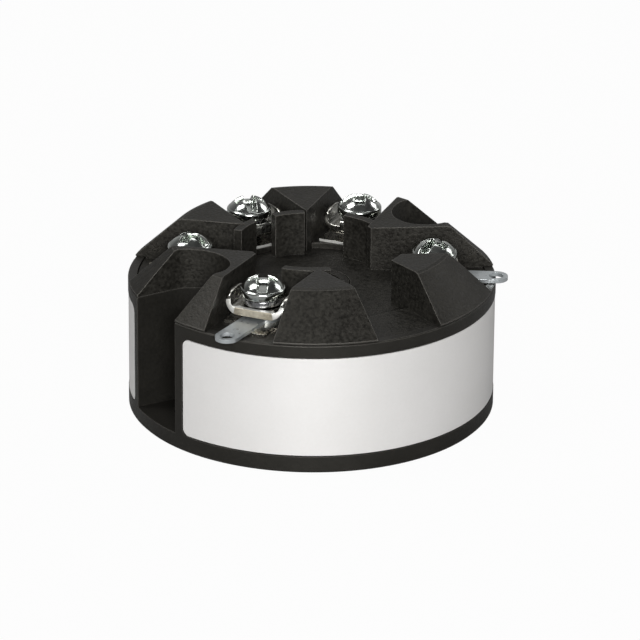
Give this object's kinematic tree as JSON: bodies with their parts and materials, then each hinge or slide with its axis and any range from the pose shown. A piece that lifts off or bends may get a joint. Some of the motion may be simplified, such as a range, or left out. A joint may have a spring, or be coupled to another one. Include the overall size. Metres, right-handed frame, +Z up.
{
  "type": "temperature transmitter",
  "caption": "Round head-mounted temperature transmitter: a black moulded housing with open screw terminals around a central cable opening and two notches for its mounting screws.",
  "frame": {"origin": "centre of the underside of the housing, on the axis of the cable bore", "axes": "+Z up along the cable bore, towards the terminal screws; the two mounting holes lie on the X axis; +Y points to the middle one of the row of three terminals"},
  "size_m": [0.044, 0.044, 0.0212],
  "materials": {
    "cup_plastic": "fine-grained charcoal black moulded plastic",
    "block_plastic": "charcoal black moulded plastic",
    "label_film": "satin silver-white film",
    "potting_resin": "dark grey cast resin",
    "board_laminate": "green lacquered laminate",
    "transformer_case": "brown-grey moulded case",
    "chip_case": "black moulded chip case",
    "capacitor_case": "ochre moulded case",
    "crystal_can": "drawn metal can",
    "resistor_body": "black ceramic chip",
    "plate_metal": "nickel-plated brass",
    "clamp_metal": "bright nickel-plated steel",
    "washer_metal": "plain spring steel",
    "screw_metal": "bright nickel-plated steel",
    "lug_metal": "tinned brass sheet"
  },
  "bodies": {
    "housing": {"housing_cup": "cup_plastic", "terminal_block": "block_plastic", "front_label": "label_film", "rear_label": "label_film", "potting_layer": "potting_resin", "circuit_board": "board_laminate", "isolation_transformer": "transformer_case", "microcontroller": "chip_case", "converter_chip": "chip_case", "output_transistor": "chip_case", "storage_capacitors": "capacitor_case", "quartz_crystal": "crystal_can", "chip_resistors": "resistor_body", "terminal_plate_1": "plate_metal", "terminal_plate_2": "plate_metal", "terminal_plate_3": "plate_metal", "terminal_plate_4": "plate_metal", "terminal_plate_5": "plate_metal", "test_lug_1": "lug_metal", "test_lug_2": "lug_metal"},
    "clamp_1": {"clamp_plate_1": "clamp_metal", "lock_washer_1": "washer_metal"},
    "screw_1": {"terminal_screw_1": "screw_metal"},
    "clamp_2": {"clamp_plate_2": "clamp_metal", "lock_washer_2": "washer_metal"},
    "screw_2": {"terminal_screw_2": "screw_metal"},
    "clamp_3": {"clamp_plate_3": "clamp_metal", "lock_washer_3": "washer_metal"},
    "screw_3": {"terminal_screw_3": "screw_metal"},
    "clamp_4": {"clamp_plate_4": "clamp_metal", "lock_washer_4": "washer_metal"},
    "screw_4": {"terminal_screw_4": "screw_metal"},
    "clamp_5": {"clamp_plate_5": "clamp_metal", "lock_washer_5": "washer_metal"},
    "screw_5": {"terminal_screw_5": "screw_metal"}
  },
  "joints": [
    {"name": "clamp_1_lift", "type": "slide", "parent": "housing", "child": "clamp_1", "axis": [0, 0, 1], "range_m": [-0.0004, 0.0011]},
    {"name": "screw_1_turn", "type": "hinge", "parent": "clamp_1", "child": "screw_1", "pos_m": [-0.01196, -0.00837, 0.01865], "axis": [0, 0, 1], "range_deg": [-288, 792]},
    {"name": "clamp_2_lift", "type": "slide", "parent": "housing", "child": "clamp_2", "axis": [0, 0, 1], "range_m": [-0.00005, 0.00145]},
    {"name": "screw_2_turn", "type": "hinge", "parent": "clamp_2", "child": "screw_2", "pos_m": [0.01196, -0.00837, 0.01865], "axis": [0, 0, 1], "range_deg": [-36, 1044]},
    {"name": "clamp_3_lift", "type": "slide", "parent": "housing", "child": "clamp_3", "axis": [0, 0, 1], "range_m": [-0.00045, 0.0015]},
    {"name": "screw_3_turn", "type": "hinge", "parent": "clamp_3", "child": "screw_3", "pos_m": [-0.01196, 0.00837, 0.01865], "axis": [0, 0, 1], "range_deg": [-324, 1080]},
    {"name": "clamp_4_lift", "type": "slide", "parent": "housing", "child": "clamp_4", "axis": [0, 0, 1], "range_m": [-0.0008, 0.00115]},
    {"name": "screw_4_turn", "type": "hinge", "parent": "clamp_4", "child": "screw_4", "pos_m": [0, 0.0146, 0.01865], "axis": [0, 0, 1], "range_deg": [-576, 828]},
    {"name": "clamp_5_lift", "type": "slide", "parent": "housing", "child": "clamp_5", "axis": [0, 0, 1], "range_m": [-0.00075, 0.0012]},
    {"name": "screw_5_turn", "type": "hinge", "parent": "clamp_5", "child": "screw_5", "pos_m": [0.01196, 0.00837, 0.01865], "axis": [0, 0, 1], "range_deg": [-540, 864]}
  ],
  "couplings": [
    {"joint": "screw_1_turn", "follows": "clamp_1_lift", "rad_per_m": 12566},
    {"joint": "screw_2_turn", "follows": "clamp_2_lift", "rad_per_m": 12566},
    {"joint": "screw_3_turn", "follows": "clamp_3_lift", "rad_per_m": 12566},
    {"joint": "screw_4_turn", "follows": "clamp_4_lift", "rad_per_m": 12566},
    {"joint": "screw_5_turn", "follows": "clamp_5_lift", "rad_per_m": 12566}
  ]
}
